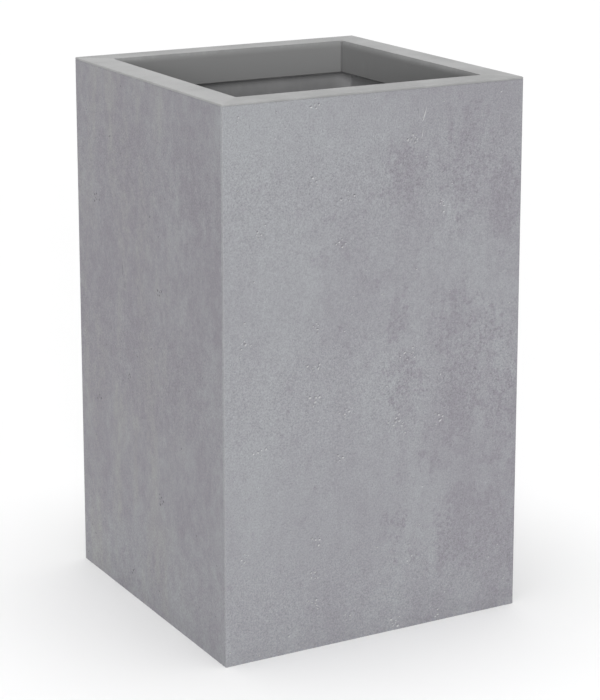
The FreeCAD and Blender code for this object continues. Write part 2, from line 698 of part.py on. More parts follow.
def add_sockets(body, foot_level):
    """Blind sockets in the floor that drop over the posts' pins."""
    bore = "(Sizes.pin_width + 2 * Sizes.fit_gap)"
    deep = "(Sizes.pin_height + Sizes.socket_play)"
    outer = f"{bore} + 2 * Sizes.socket_wall"
    sketch = square(body, "BossOutline", foot_level, POST_PLACE, POST_PLACE, outer)
    boss = pad(body, "Boss", sketch, f"{deep} + Sizes.socket_wall")
    sketch = square(body, "SocketOutline", foot_level, POST_PLACE, POST_PLACE, bore)
    socket = pocket(body, "Socket", sketch, deep)
    around(body, "Sockets", [boss, socket], SIDES)


def add_handle_outline(sketch):
    """A flat U, open to the right, with concentric round corners."""
    outer = value(HANDLE_HALF)
    inner = value(HANDLE_INNER)
    round_outer = value(HANDLE_RADIUS)
    round_inner = round_outer - (outer - inner)
    end = -value("Sizes.pivot_offset")
    turn = outer - round_outer
    centres = (FreeCAD.Vector(-turn, turn, 0), FreeCAD.Vector(-turn, -turn, 0))
    up = FreeCAD.Vector(0, 0, 1)
    quarter = math.pi / 2

    def line(start, finish):
        return sketch.addGeometry(Part.LineSegment(FreeCAD.Vector(*start, 0), FreeCAD.Vector(*finish, 0)))

    def arc(centre, radius, first):
        whole = Part.Circle(centre, up, radius)
        return sketch.addGeometry(Part.ArcOfCircle(whole, first, first + quarter))

    outer_top = line((end, outer), (-turn, outer))
    outer_top_arc = arc(centres[0], round_outer, quarter)
    outer_bar = line((-outer, turn), (-outer, -turn))
    outer_low_arc = arc(centres[1], round_outer, 2 * quarter)
    outer_low = line((-turn, -outer), (end, -outer))
    low_end = line((end, -outer), (end, -inner))
    inner_low = line((end, -inner), (-turn, -inner))
    inner_low_arc = arc(centres[1], round_inner, 2 * quarter)
    inner_bar = line((-inner, -turn), (-inner, turn))
    inner_top_arc = arc(centres[0], round_inner, quarter)
    inner_top = line((-turn, inner), (end, inner))
    top_end = line((end, inner), (end, outer))
    constrain = sketch.addConstraint
    for item, following in (
        (outer_top, outer_top_arc),
        (outer_top_arc, outer_bar),
        (outer_bar, outer_low_arc),
        (outer_low_arc, outer_low),
    ):
        constrain(Sketcher.Constraint("Tangent", item, 2, following, 1))
    for item, point, following, other in (
        (inner_low, 2, inner_low_arc, 2),
        (inner_low_arc, 1, inner_bar, 1),
        (inner_bar, 2, inner_top_arc, 2),
        (inner_top_arc, 1, inner_top, 1),
    ):
        constrain(Sketcher.Constraint("Tangent", item, point, following, other))
    for item, following in (
        (outer_low, low_end),
        (low_end, inner_low),
        (inner_top, top_end),
        (top_end, outer_top),
    ):
        constrain(Sketcher.Constraint("Coincident", item, 2, following, 1))
    for item in (outer_top, outer_low, inner_low, inner_top):
        constrain(Sketcher.Constraint("Horizontal", item))
    for item in (outer_bar, inner_bar, low_end, top_end):
        constrain(Sketcher.Constraint("Vertical", item))
    constrain(Sketcher.Constraint("Equal", outer_top_arc, outer_low_arc))
    constrain(Sketcher.Constraint("Coincident", outer_top_arc, 3, inner_top_arc, 3))
    constrain(Sketcher.Constraint("Coincident", outer_low_arc, 3, inner_low_arc, 3))
    place_point(sketch, outer_top, 1, "-Sizes.pivot_offset", HANDLE_HALF)
    place_point(sketch, outer_low, 2, "-Sizes.pivot_offset", f"-{HANDLE_HALF}")
    bind(sketch, "DistanceX", (-1, 1, outer_bar, 1), f"-{HANDLE_HALF}")
    bind(sketch, "DistanceX", (-1, 1, inner_bar, 1), f"-{HANDLE_INNER}")
    bind(sketch, "Radius", (outer_top_arc,), HANDLE_RADIUS)


def make_insert_handle(label, turn):
    """A flat frame handle that lies on the flange, with a round eye and an inward pivot pin on each arm."""
    body = new_body(label)
    sketch = new_sketch(body, "FrameOutline", HANDLE_BOTTOM)
    add_handle_outline(sketch)
    pad(body, "Frame", sketch, "Sizes.handle_thickness")
    levels = (value(HANDLE_BOTTOM), value(f"{HANDLE_BOTTOM} + Sizes.handle_thickness"))
    end = -value("Sizes.pivot_offset")
    soften(
        body,
        "FrameEdges",
        "Chamfer",
        "Sizes.handle_chamfer",
        lambda edge: any(lies_at(edge, level) for level in levels) and edge.CenterOfMass.x < end - SMALL,
    )
    eye_sketch = new_sketch(body, "EyeProfile", f"-{HANDLE_HALF}", "XZ_Plane")
    add_circle(eye_sketch, "-Sizes.pivot_offset", PIVOT_LEVEL, "Sizes.handle_thickness / 2")
    eye = pad(body, "Eye", eye_sketch, "Sizes.handle_width")
    pin_sketch = new_sketch(body, "PinProfile", f"-{HANDLE_INNER}", "XZ_Plane")
    add_circle(pin_sketch, "-Sizes.pivot_offset", PIVOT_LEVEL, "Sizes.pivot_radius")
    pin = pad(body, "Pin", pin_sketch, "Sizes.fit_gap + Sizes.ear_thickness")
    mirror = body.newObject("PartDesign::Mirrored", "OtherArm")
    mirror.Originals = [eye, pin]
    mirror.MirrorPlane = (origin_feature(body, "XZ_Plane"), [""])
    body.Tip = mirror
    body.Placement = FreeCAD.Placement(FreeCAD.Vector(), FreeCAD.Rotation(FreeCAD.Vector(0, 0, 1), turn))
    return body


def make_all():
    pieces = [make_outer_sleeve(), make_rim_frame(), make_base_tray()]
    for end, along in (("front", "-1"), ("back", "1")):
        for side, across in (("left", "-1"), ("right", "1")):
            pieces.append(make_foot_pad(f"foot_pad_{end}_{side}", across, along))
    pieces.append(make_drain_plug())
    pieces.append(make_drain_gasket())
    pieces.append(make_planting_insert())
    pieces.append(make_insert_handle("insert_handle_left", 0))
    pieces.append(make_insert_handle("insert_handle_right", 180))
    return pieces


def check(pieces):
    """Stops if anything failed to build or a piece isn't one sound solid."""
    document.recompute()
    for item in document.Objects:
        if "Invalid" in item.State or "Error" in item.State:
            raise RuntimeError(f"{item.Label}: {item.State}")
    for piece in pieces:
        shape = piece.Shape
        if shape.isNull() or not shape.isValid() or len(shape.Solids) != 1:
            raise RuntimeError(f"{piece.Label}: not one valid solid")


def write(pieces):
    os.makedirs("parts", exist_ok=True)
    for piece in pieces:
        piece.Shape.exportStep(f"parts/{piece.Label}.step")
        print(f"{piece.Label}: {piece.Shape.Volume / 1000:.1f} cm3")


planter_pieces = make_all()
check(planter_pieces)
write(planter_pieces)
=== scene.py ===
import math
import random

import bmesh
import bpy
from mathutils import Matrix, Vector


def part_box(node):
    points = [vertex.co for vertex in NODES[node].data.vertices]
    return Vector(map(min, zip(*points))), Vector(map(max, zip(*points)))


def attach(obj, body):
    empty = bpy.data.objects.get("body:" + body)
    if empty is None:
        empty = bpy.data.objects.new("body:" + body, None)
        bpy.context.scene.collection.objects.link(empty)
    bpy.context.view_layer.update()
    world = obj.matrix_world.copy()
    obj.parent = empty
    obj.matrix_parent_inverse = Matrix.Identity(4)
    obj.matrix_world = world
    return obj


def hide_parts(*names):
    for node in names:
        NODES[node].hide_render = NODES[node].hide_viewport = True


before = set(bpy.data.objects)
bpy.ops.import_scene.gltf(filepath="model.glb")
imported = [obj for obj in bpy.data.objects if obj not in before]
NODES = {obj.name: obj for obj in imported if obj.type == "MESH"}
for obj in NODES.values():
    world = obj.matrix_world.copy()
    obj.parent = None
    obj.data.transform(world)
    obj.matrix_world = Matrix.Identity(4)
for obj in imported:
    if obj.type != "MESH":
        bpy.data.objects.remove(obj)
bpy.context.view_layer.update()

# A tall square planter of moulded plastic: concrete-effect sides, a plain rim, and a lift-out insert.
# Metres, +Z up, origin on the floor at the middle of the foot.

# Places on the sleeve and the rim, from the frame: heights, and half widths at the floor and at the top.
# The sleeve's half wall parts its outside from its inside, and the rim reaches to the skirt's inner face.
SLEEVE_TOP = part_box("outer_sleeve")[1].z
HALF_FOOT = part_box("outer_sleeve")[1].x
HALF_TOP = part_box("rim_frame")[1].x
RIM_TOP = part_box("rim_frame")[1].z
SKIRT_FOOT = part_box("rim_frame")[0].z
DRAFT = (HALF_FOOT - HALF_TOP) / SLEEVE_TOP
HALF_WALL = 0.0015
RIM_WIDTH = 0.028
HALF_MOUTH = HALF_TOP - RIM_WIDTH

# The camera, solved from the photograph's edges. Its lens and sensor are in millimetres.
CAMERA_PLACE = (-0.975408, -1.764715, 0.809288)
CAMERA_AZIMUTH = math.radians(-29.10709)
CAMERA_ELEVATION = math.radians(15.97709)
CAMERA_LENS = 114.484
CAMERA_SENSOR = 36

# The light: an even sky, a broad lamp high up and a fill from the camera's side.
# Each lamp has a strength, the direction that it comes from, and a spread.
SKY_STRENGTH = 0.2
OVERHEAD = (2.5, (0.0, 0.0, 1.0), math.radians(50))
FILL = (1.42, (-0.46, -0.86, 0.19), math.radians(22))

# The floor: half its width, its colour, and a faint unevenness of scale and detail.
FLOOR_HALF = 15.0
FLOOR_COLOUR = (0.92, 0.92, 0.92, 1)
FLOOR_FIELD = (3, 2)
FLOOR_ROUGHNESS = (0.3, 0.7, 0.85, 0.95)
FLOOR_RELIEF = 0.0001

# Colours of the concrete effect and of the plain plastics, linear. A plain plastic clouds between two.
CONCRETE_PALE = (0.336, 0.344, 0.362, 1)
CONCRETE_PALE_WARM = (0.345, 0.346, 0.342, 1)
CONCRETE_DEEP = (0.2525, 0.242, 0.270, 1)
CONCRETE_EDGE = (0.29, 0.29, 0.30, 1)
# The pit colours are a painted highlight and a painted shade for the pits' walls.
PIT_PAINTED_HIGHLIGHT = (0.62, 0.62, 0.63, 1)
PIT_PAINTED_SHADE = (0.17, 0.165, 0.18, 1)
INSIDE_COLOURS = ((0.505, 0.505, 0.511, 1), (0.570, 0.570, 0.576, 1))
RIM_COLOURS = ((0.320, 0.321, 0.321, 1), (0.400, 0.401, 0.401, 1))
TRAY_COLOURS = ((0.10, 0.10, 0.104, 1), (0.14, 0.14, 0.144, 1))
INSERT_COLOURS = ((0.070, 0.070, 0.074, 1), (0.105, 0.105, 0.108, 1))
HANDLE_COLOURS = ((0.17, 0.17, 0.178, 1), (0.215, 0.215, 0.222, 1))
PLUG_COLOURS = ((0.035, 0.035, 0.038, 1), (0.055, 0.055, 0.058, 1))
RUBBER_COLOURS = ((0.022, 0.022, 0.022, 1), (0.045, 0.044, 0.042, 1))

# Finish of each plain plastic: roughness, and the scale and depth of its mould grain.
INSIDE_FINISH = (0.55, 900, 0.0002)
RIM_FINISH = (0.62, 1100, 0.00015)
TRAY_FINISH = (0.5, 900, 0.0002)
INSERT_FINISH = (0.5, 800, 0.0003)
HANDLE_FINISH = (0.42, 1000, 0.0002)
PLUG_FINISH = (0.4, 1200, 0.0002)
RUBBER_FINISH = (0.75, 1500, 0.0004)
PLAIN_GLOSS = 0.5
RIM_GLOSS = 0.2

# What the plain plastics share. A field is its scale, detail, roughness and upright share, which below 1
# draws it out upwards. A ramp is where it starts and ends, and what it gives there.
PLASTIC_CLOUDS = (22, 4, 0.55)
PLASTIC_SCUFFS = (130, 5, 0.7, 0.35)
SCUFF_SWAY = 0.6
PLASTIC_SHADES = (0.3, 0.75)

# How scuffs change the roughness, from least to most, and the mould grain's detail and roughness.
SCUFF_ROUGHNESS = (-0.08, 0.1)
MOULD_GRAIN = (3, 0.6)

# Pale flecks of regranulate in the insert: their scale, the least brightness of a cell that shows one,
# the fading edge, and how much paler they are.
FLECK_SCALE = 210
FLECK_LEAST = 0.85
FLECK_EDGE = (0.3, 0.2, 0.0, 0.5)
FLECK_PALER = 2.2

# Painted shade on the rim: across it, at its mitres, and from its top down into the skirt.
RIM_ACROSS = -0.35
RIM_MITRE = (-0.003, 0.003, -0.1, 0.1)
RIM_DOWN = (RIM_TOP - 0.0015, RIM_TOP - 0.005, 0.0, -0.3)

# Painted shade in the mouth's corners: how near the corner, how far below the top, and on the skirt's inner
# face.
CORNER_SHADE_NEAR = (HALF_MOUTH - 0.0016, HALF_MOUTH - 0.0008)
CORNER_SHADE_BELOW = (RIM_TOP - 0.0007, RIM_TOP - 0.0015)
CORNER_SHADE_SKIN = (HALF_MOUTH + 0.003, HALF_MOUTH + 0.002)
CORNER_SHADE_DEPTH = -0.35

# Painted light on the sleeve's inner walls: towards the right, and up to the skirt's foot.
WALL_RIGHT = (0.125, 0.145, 0.0, 0.3)
WALL_UP = (SKIRT_FOOT - 0.024, SKIRT_FOOT - 0.007, 0.8, 0.98)

# Fields and reliefs of the concrete effect, and its roughness.
CLOUDS = (13, 4, 0.55, 0.55)
SMEARS = (38, 4, 0.6, 0.2)
MOTTLE = (60, 7, 0.75)
LACE = (115, 2, 0.65, 0.75)
WILD = (9, 3, 0.6, 0.6)
DOTS = (300, 3, 0.6)
SPECKLE = (560, 2, 0.6)
GRAIN = (1000, 2, 0.6)
WAVY_RELIEF = (230, 2, 0.5)
WAVY_DEPTH = 0.0006
FINE_RELIEF = (560, 3, 0.65)
FINE_DEPTH = 0.0005
CONCRETE_ROUGHNESS = (0.7, 1.3, 0.72, 0.5)

# How far behind its face the front gives way to the other three sides.
FRONT_END = (0.0022, 0.0032)

# The print's depth goes from 0, the pale colour, to 1, the deep one. Each field sways it about the middle,
# livelier towards the right and on the other sides. The lace has a sway for the front and one for those.
CLOUD_SWAY = -1.3
SMEAR_SWAY = -0.8
MOTTLE_SWAY = -0.5
LACE_SWAY = (0.55, 1.25)
LIVELY_FRONT = (-0.1, 0.07, 0.4, 1.0)
LIVELY_OTHERS = 0.9

# That depth grows to the right and towards the foot, partly as the print's own clouds and partly as painted
# shade where the light falls off; its paler upper left is painted light. The other sides add most to it near
# the top and on the left.
DEPTH_MIDDLE = 0.45
DEPTH_ACROSS = 0.95
DEPTH_UP = -0.25
UPPER_LEFT_ACROSS = (0.03, -0.1)
UPPER_LEFT_UP = (0.4, 0.48, 0.0, -0.14)
OTHERS_UP = 0.3
OTHERS_FOOT = (0.02, 0.24, 0.17, 0.47)
OTHERS_ACROSS = (-0.12, 0.14, 0.0, -0.5)

# Grain, warm smears and worn edges of the print. The two strengths are for the front and the other sides.
SPECKLE_SWAY = 0.55
GRAIN_SWAY = 0.75
GRAIN_WAVE = 0.2
GRAIN_STRENGTH = (0.95, 0.65)
WARM_SMEARS = (0.42, 0.62)
WARM_BEHIND = (-0.12, 0.02)
EDGE_WIDTH = (0.0013, 0.0006)
EDGE_WEAR = (0.35, 0.6, 0.1, 0.4)

# The print repeats down the sides, with its coarsest grain at one height of each repeat.
PRINT_REPEAT = 0.194
PRINT_COARSEST = 0.435
PRINT_TURN = (math.tau / PRINT_REPEAT, -math.tau * PRINT_COARSEST / PRINT_REPEAT)

# Cloudy patches on the front: across, up, half width, half height. Wild ones gather on the right.
PATCHES = (
    (0.030, 0.426, 0.024, 0.032),
    (0.090, 0.422, 0.024, 0.058),
    (0.134, 0.388, 0.020, 0.036),
    (0.087, 0.282, 0.030, 0.042),
    (0.120, 0.272, 0.022, 0.026),
    (0.022, 0.296, 0.012, 0.018),
)
PATCH_REPEATS = 2
PATCH_FADE = (1.5, 0.2)
WILD_ACROSS = 0.8
WILD_PATCHES = (0.5, 0.95)
RAGGED_MOTTLE = 3.2
RAGGED_LACE = 2.4
PATCH_EDGE = (0.3, 1.0)
PATCH_DOTS = (0.5, 0.62)
DOT_DEPTH = 0.72
PATCH_DEPTH = 0.18

# Painted light and shade in the pits, by the tilt of their walls, clear of the sleeve's upright edges and its
# top.
# The two shares are for the front and the other sides.
TILT_RIGHTWARD = -0.4
LIT_TILT = (0.04, 0.3, 0.0, 0.9)
SHADED_TILT = (-0.04, -0.3, 0.0, 0.9)
LIT_SHARE = (1.0, 0.25)
PIT_INSET = (0.0032, 0.0038)
PIT_BELOW = (SLEEVE_TOP - 0.0012, SLEEVE_TOP - 0.0017)
PIT_HOLLOW = (0.0001, 0.0003)

# The sides, in quarter turns from the front, with their clusters of pits: across and up, seen from outside.
# The print and its pits repeat together.
FRONT, RIGHT, BACK, LEFT = range(4)
FRONT_CLUSTERS = (
    (-0.133, 0.487),
    (-0.060, 0.492),
    (-0.062, 0.429),
    (-0.029, 0.410),
    (-0.037, 0.370),
    (-0.117, 0.387),
    (0.036, 0.455),
    (0.067, 0.394),
    (-0.064, 0.262),
    (0.021, 0.201),
)
RIGHT_CLUSTERS = ((-0.101, 0.452), (0.012, 0.431), (0.083, 0.365), (-0.042, 0.336), (0.118, 0.472))
BACK_CLUSTERS = ((-0.088, 0.462), (-0.024, 0.395), (0.064, 0.441), (0.109, 0.357), (-0.125, 0.341))
LEFT_CLUSTERS = ((0.025, 0.311), (-0.041, 0.218), (-0.109, 0.374))
CLUSTERS = {FRONT: FRONT_CLUSTERS, RIGHT: RIGHT_CLUSTERS, BACK: BACK_CLUSTERS, LEFT: LEFT_CLUSTERS}
CLUSTER_REPEATS = 3
PITS_IN_CLUSTER = (9, 14)
CLUSTER_SPREAD = 0.0029
LONE_PITS = 80
LONE_SHARE = 0.65

# A pit is a lumpy pebble's print: its radius, and its depth and height as shares of that.
PIT_RADIUS = (0.0007, 0.0017)
PIT_DEPTH_SHARE = (0.4, 0.7)
PIT_HEIGHT_SHARE = (0.65, 1)
PEBBLE_LUMPS = (0.85, 1.1)
PEBBLE_ROUNDNESS = 2
PIT_GAP = 0.0002
PIT_MARGIN = 0.0035
PIT_SEED = 7
WELD_DISTANCE = 1e-6

# Short scratches: side, across, up, length, lean.
SCRATCHES = (
    (FRONT, 0.041, 0.477, 0.013, math.radians(-14)),
    (FRONT, 0.047, 0.475, 0.014, math.radians(17)),
    (FRONT, 0.045, 0.459, 0.009, math.radians(4)),
    (LEFT, -0.052, 0.318, 0.014, 0),
    (LEFT, -0.047, 0.303, 0.008, math.radians(6)),
)
SCRATCH_RADIUS = 0.0006


class Graph:
    """A material's node tree. Each call adds a node and returns its output."""

    def __init__(self, name):
        self.material = bpy.data.materials.new(name)
        self.material.use_nodes = True
        self.tree = self.material.node_tree
        self.shader = self.tree.nodes["Principled BSDF"]
        self.place = self.add("ShaderNodeTexCoord").outputs["Object"]

    def add(self, kind, **settings):
        node = self.tree.nodes.new(kind)
        for name, setting in settings.items():
            setattr(node, name, setting)
        return node

    def feed(self, socket, source):
        """A socket's link, or its plain value."""
        if isinstance(source, bpy.types.NodeSocket):
            self.tree.links.new(source, socket)
        else:
            socket.default_value = source

    def math(self, operation, *sources):
        node = self.add("ShaderNodeMath", operation=operation)
        for socket, source in zip(node.inputs, sources):
            self.feed(socket, source)
        return node.outputs[0]

    def plus(self, first, second):
        return self.math("ADD", first, second)

    def minus(self, first, second):
        return self.math("SUBTRACT", first, second)

    def times(self, first, second):
        return self.math("MULTIPLY", first, second)

    def line(self, field, slope, start):
        """The field times its slope, from a start."""
        return self.math("MULTIPLY_ADD", field, slope, start)

    def unsigned(self, *fields):
        return [self.math("ABSOLUTE", field) for field in fields]

    def swing(self, field, reach):
        """A field about its middle, times its reach."""
        return self.times(self.minus(field, 0.5), reach)

    def vector(self, operation, first, second=(0, 0, 0)):
        node = self.add("ShaderNodeVectorMath", operation=operation)
        self.feed(node.inputs[0], first)
        self.feed(node.inputs[1], second)
        return node.outputs["Value" if operation == "LENGTH" else "Vector"]

    def apart(self, vector):
        """A vector's three parts."""
        node = self.add("ShaderNodeSeparateXYZ")
        self.feed(node.inputs[0], vector)
        return node.outputs

    def facing(self):
        """The three parts of the way the surface itself faces, without its relief."""
        return self.apart(self.add("ShaderNodeNewGeometry").outputs["True Normal"])

    def noise(self, scale, detail, roughness=0.5, upright=1.0):
        """A cloudy field, drawn out upwards where its upright share is below 1."""
        node = self.add("ShaderNodeTexNoise")
        place = self.place
        if upright != 1.0:
            place = self.vector("MULTIPLY", place, (1, 1, upright))
        self.feed(node.inputs["Vector"], place)
        self.feed(node.inputs["Scale"], scale)
        self.feed(node.inputs["Detail"], detail)
        self.feed(node.inputs["Roughness"], roughness)
        return node.outputs["Fac"]

    def cells(self, scale):
        """Distance to the nearest of scattered points, and a colour of its own for each."""
        node = self.add("ShaderNodeTexVoronoi")
        self.feed(node.inputs["Vector"], self.place)
        self.feed(node.inputs["Scale"], scale)
        return node.outputs["Distance"], node.outputs["Color"]

    def ramp(self, source, low, high, first=0.0, last=1.0):
        """Smoothly from first to last as the source goes from low to high."""
        node = self.add("ShaderNodeMapRange", interpolation_type="SMOOTHSTEP")
        for socket, number in zip(node.inputs, (source, low, high, first, last)):
            self.feed(socket, number)
        return node.outputs[0]

    def blend(self, share, first, second):
        node = self.add("ShaderNodeMix", data_type="RGBA")
        self.feed(node.inputs["Factor"], share)
        self.feed(node.inputs["A"], first)
        self.feed(node.inputs["B"], second)
        return node.outputs["Result"]

    def bump(self, height, depth, under=None):
        """A relief of that depth in metres, on top of another relief."""
        node = self.add("ShaderNodeBump")
        self.feed(node.inputs["Height"], height)
        self.feed(node.inputs["Distance"], depth)
        self.feed(node.inputs["Strength"], 1.0)
        if under:
            self.feed(node.inputs["Normal"], under)
        return node.outputs["Normal"]

    def finish(self, colour, roughness, normal, gloss=PLAIN_GLOSS):
        self.feed(self.shader.inputs["Base Color"], colour)
        self.feed(self.shader.inputs["Roughness"], roughness)
        self.feed(self.shader.inputs["Normal"], normal)
        self.shader.inputs["Specular IOR Level"].default_value = gloss
        return self.material


class ConcreteEffect(Graph):
    """Matt grey print of cast concrete: pale clouds, deeper grainy patches, smears and grain; painted light
    and shade.
    """

    def __init__(self):
        super().__init__("concrete_effect")
        self.x, self.y, self.z = self.apart(self.place)
        self.reaches = self.unsigned(self.x, self.y)
        # Half the sleeve's width at this height.
        self.half = self.line(self.z, -DRAFT, HALF_FOOT)
        # 0 on the front and 1 on the other three sides.
        self.aside = self.ramp(self.plus(self.y, self.half), *FRONT_END)
        # How far from the nearest upright edge.
        self.inset = self.minus(self.half, self.math("MINIMUM", *self.reaches))
        self.smears = self.noise(*SMEARS)
        self.mottle = self.noise(*MOTTLE)
        self.lace = self.noise(*LACE)
        self.speckle = self.noise(*SPECKLE)

    def by_side(self, front, others):
        """One number on the front, another on the other three sides."""
        return self.line(self.aside, others - front, front)

    def chosen_patches(self):
        """How deep in the listed cloudy patches a place on the front lies."""
        total = 0.0
        for across, up, half_across, half_up in PATCHES:
            for turn in range(PATCH_REPEATS):
                middle = (across, -HALF_TOP, up - turn * PRINT_REPEAT)
                size = (half_across, HALF_TOP / 2, half_up)
                share = self.vector("DIVIDE", self.vector("SUBTRACT", self.place, middle), size)
                inside = self.ramp(self.vector("LENGTH", share), *PATCH_FADE)
                total = self.math("MAXIMUM", total, inside)
        return total

    def patches(self):
        """Ragged, dotted patches, the listed ones and the wild ones."""
        wild = self.line(self.x, WILD_ACROSS, self.noise(*WILD))
        field = self.plus(self.chosen_patches(), self.ramp(wild, *WILD_PATCHES))
        ragged = self.plus(self.swing(self.mottle, RAGGED_MOTTLE), self.swing(self.lace, RAGGED_LACE))
        inside = self.ramp(self.plus(field, ragged), *PATCH_EDGE)
        dots = self.ramp(self.noise(*DOTS), *PATCH_DOTS)
        return self.times(inside, self.line(dots, DOT_DEPTH, PATCH_DEPTH))

    def depth(self):
        """How far the print has gone from its pale colour to its deep one, with painted shade in its slopes
        and painted light at the upper left.
        """
        depth = self.plus(self.patches(), self.swing(self.lace, self.by_side(*LACE_SWAY)))
        others = self.times(self.aside, LIVELY_OTHERS)
        lively = self.math("MAXIMUM", self.ramp(self.x, *LIVELY_FRONT), others)
        sways = ((self.noise(*CLOUDS), CLOUD_SWAY), (self.smears, SMEAR_SWAY), (self.mottle, MOTTLE_SWAY))
        for field, sway in sways:
            depth = self.line(self.swing(field, sway), lively, depth)
        # Partly print and partly painted shade: deeper to the right and towards the foot.
        depth = self.plus(depth, self.line(self.x, DEPTH_ACROSS, DEPTH_MIDDLE))
        depth = self.line(self.z, DEPTH_UP, depth)
        # Painted light: a paler upper left.
        upper_left = self.times(self.ramp(self.x, *UPPER_LEFT_ACROSS), self.ramp(self.z, *UPPER_LEFT_UP))
        depth = self.plus(depth, upper_left)
        deeper = self.line(self.z, OTHERS_UP, self.ramp(self.z, *OTHERS_FOOT))
        deeper = self.plus(deeper, self.ramp(self.x, *OTHERS_ACROSS))
        return self.line(self.aside, deeper, depth)

    def printed(self):
        """The print's colour with its grain."""
        warmth = self.times(self.ramp(self.smears, *WARM_SMEARS), self.ramp(self.y, *WARM_BEHIND))
        pale = self.blend(warmth, CONCRETE_PALE, CONCRETE_PALE_WARM)
        colour = self.blend(self.depth(), pale, CONCRETE_DEEP)
        repeat = self.math("COSINE", self.line(self.z, *PRINT_TURN))
        coarse = self.line(repeat, GRAIN_WAVE, self.by_side(*GRAIN_STRENGTH))
        grains = self.plus(self.swing(self.speckle, SPECKLE_SWAY), self.swing(self.noise(*GRAIN), GRAIN_SWAY))
        return self.vector("MULTIPLY", colour, self.line(grains, coarse, 1.0))

    def worn(self, colour):
        """Patchy wear along the upright edges."""
        wear_share = self.times(self.ramp(self.inset, *EDGE_WIDTH), self.ramp(self.mottle, *EDGE_WEAR))
        return self.blend(wear_share, colour, CONCRETE_EDGE)

    def pitted(self, colour):
        """Painted light on pit walls facing up, painted shade on those facing down and in pits off the front.
        """
        rightward, _, upward = self.facing()
        rightward = self.times(rightward, self.minus(1.0, self.aside))
        tilt = self.line(rightward, TILT_RIGHTWARD, upward)
        inward = self.times(self.ramp(self.inset, *PIT_INSET), self.ramp(self.z, *PIT_BELOW))
        lit = self.times(self.ramp(tilt, *LIT_TILT), inward)
        lit = self.times(lit, self.by_side(*LIT_SHARE))
        sunk = self.minus(self.half, self.math("MAXIMUM", *self.reaches))
        hollow = self.times(self.ramp(sunk, *PIT_HOLLOW), self.aside)
        shaded = self.times(self.math("MAXIMUM", self.ramp(tilt, *SHADED_TILT), hollow), inward)
        return self.blend(shaded, self.blend(lit, colour, PIT_PAINTED_HIGHLIGHT), PIT_PAINTED_SHADE)

    def made(self):
        """The finished material."""
        colour = self.pitted(self.worn(self.printed()))
        roughness = self.ramp(self.plus(self.mottle, self.speckle), *CONCRETE_ROUGHNESS)
        relief = self.bump(self.noise(*WAVY_RELIEF), WAVY_DEPTH)
        relief = self.bump(self.noise(*FINE_RELIEF), FINE_DEPTH, under=relief)
        return self.finish(colour, roughness, relief)


def plain_plastic(name, colours, finish, fleck_scale=0, painted_shading=None, painted_lighting=None, gloss=PLAIN_GLOSS):
    """Moulded plastic: a fine mould grain, faint flow clouds, scuffs and, in regranulate, pale flecks."""
    graph = Graph(name)
    roughness, grain_scale, grain_depth = finish
    scuffs = graph.noise(*PLASTIC_SCUFFS)
    shade = graph.plus(graph.swing(scuffs, SCUFF_SWAY), graph.noise(*PLASTIC_CLOUDS))
    # Painted shade by place, where a piece is given it.
    if painted_shading:
        shade = graph.plus(shade, painted_shading(graph))
    colour = graph.blend(graph.ramp(shade, *PLASTIC_SHADES), *colours)
    if fleck_scale:
        distance, identity = graph.cells(fleck_scale)
        chosen = graph.math("GREATER_THAN", identity, FLECK_LEAST)
        fleck = graph.times(graph.ramp(distance, *FLECK_EDGE), chosen)
        colour = graph.blend(fleck, colour, tuple(FLECK_PALER * part for part in colours[1][:3]) + (1,))
    # Painted light and shade as a multiplier, where a piece is given them.
    if painted_lighting:
        colour = graph.vector("MULTIPLY", colour, painted_lighting(graph))
    least, most = (roughness + change for change in SCUFF_ROUGHNESS)
    shine = graph.ramp(scuffs, *PLASTIC_SHADES, least, most)
    relief = graph.bump(graph.noise(grain_scale, *MOULD_GRAIN), grain_depth)
    return graph.finish(colour, shine, relief, gloss)


def rim_painted_shade(graph):
    """Painted shade on the rim: deeper in front and behind than at its sides, on its right, and down in its
    skirt.
    """
    x, y, z = graph.apart(graph.place)
    sideways = graph.minus(*graph.unsigned(x, y))
    shade = graph.line(x, RIM_ACROSS, graph.ramp(sideways, *RIM_MITRE))
    return graph.plus(shade, graph.ramp(z, *RIM_DOWN))


def wall_painted_light(graph):
    """Painted light: the sleeve's inner walls are paler on the right and in a band under the rim's skirt."""
    x, _, z = graph.apart(graph.place)
    return graph.plus(graph.ramp(x, *WALL_RIGHT), graph.ramp(z, *WALL_UP))


def mouth_corner_shade(graph):
    """Painted shade in the mouth's four upright corners, below the rim's flat top."""
    x, y, z = graph.apart(graph.place)
    reaches = graph.unsigned(x, y)
    corner = graph.ramp(graph.math("MINIMUM", *reaches), *CORNER_SHADE_NEAR)
    corner = graph.times(corner, graph.ramp(z, *CORNER_SHADE_BELOW))
    corner = graph.times(corner, graph.ramp(graph.math("MAXIMUM", *reaches), *CORNER_SHADE_SKIN))
    return graph.line(corner, CORNER_SHADE_DEPTH, 1.0)


def half_width(up):
    """Half the sleeve's outside width at a height."""
    return HALF_FOOT - DRAFT * up


def add_pebble(pebbles, side, across, up, lean, sizes, draw):
    """A lumpy pebble half sunk into a side."""
    pose = (
        Matrix.Rotation(side * math.pi / 2, 4, "Z")
        @ Matrix.Translation((across, -half_width(up), up))
        @ Matrix.Rotation(lean, 4, "Y")
        @ Matrix.Diagonal((*sizes, 1))
    )
    points = bmesh.ops.create_icosphere(pebbles, subdivisions=PEBBLE_ROUNDNESS, radius=1)["verts"]
    for point in points:
        point.co = pose @ (point.co * draw.uniform(*PEBBLE_LUMPS))


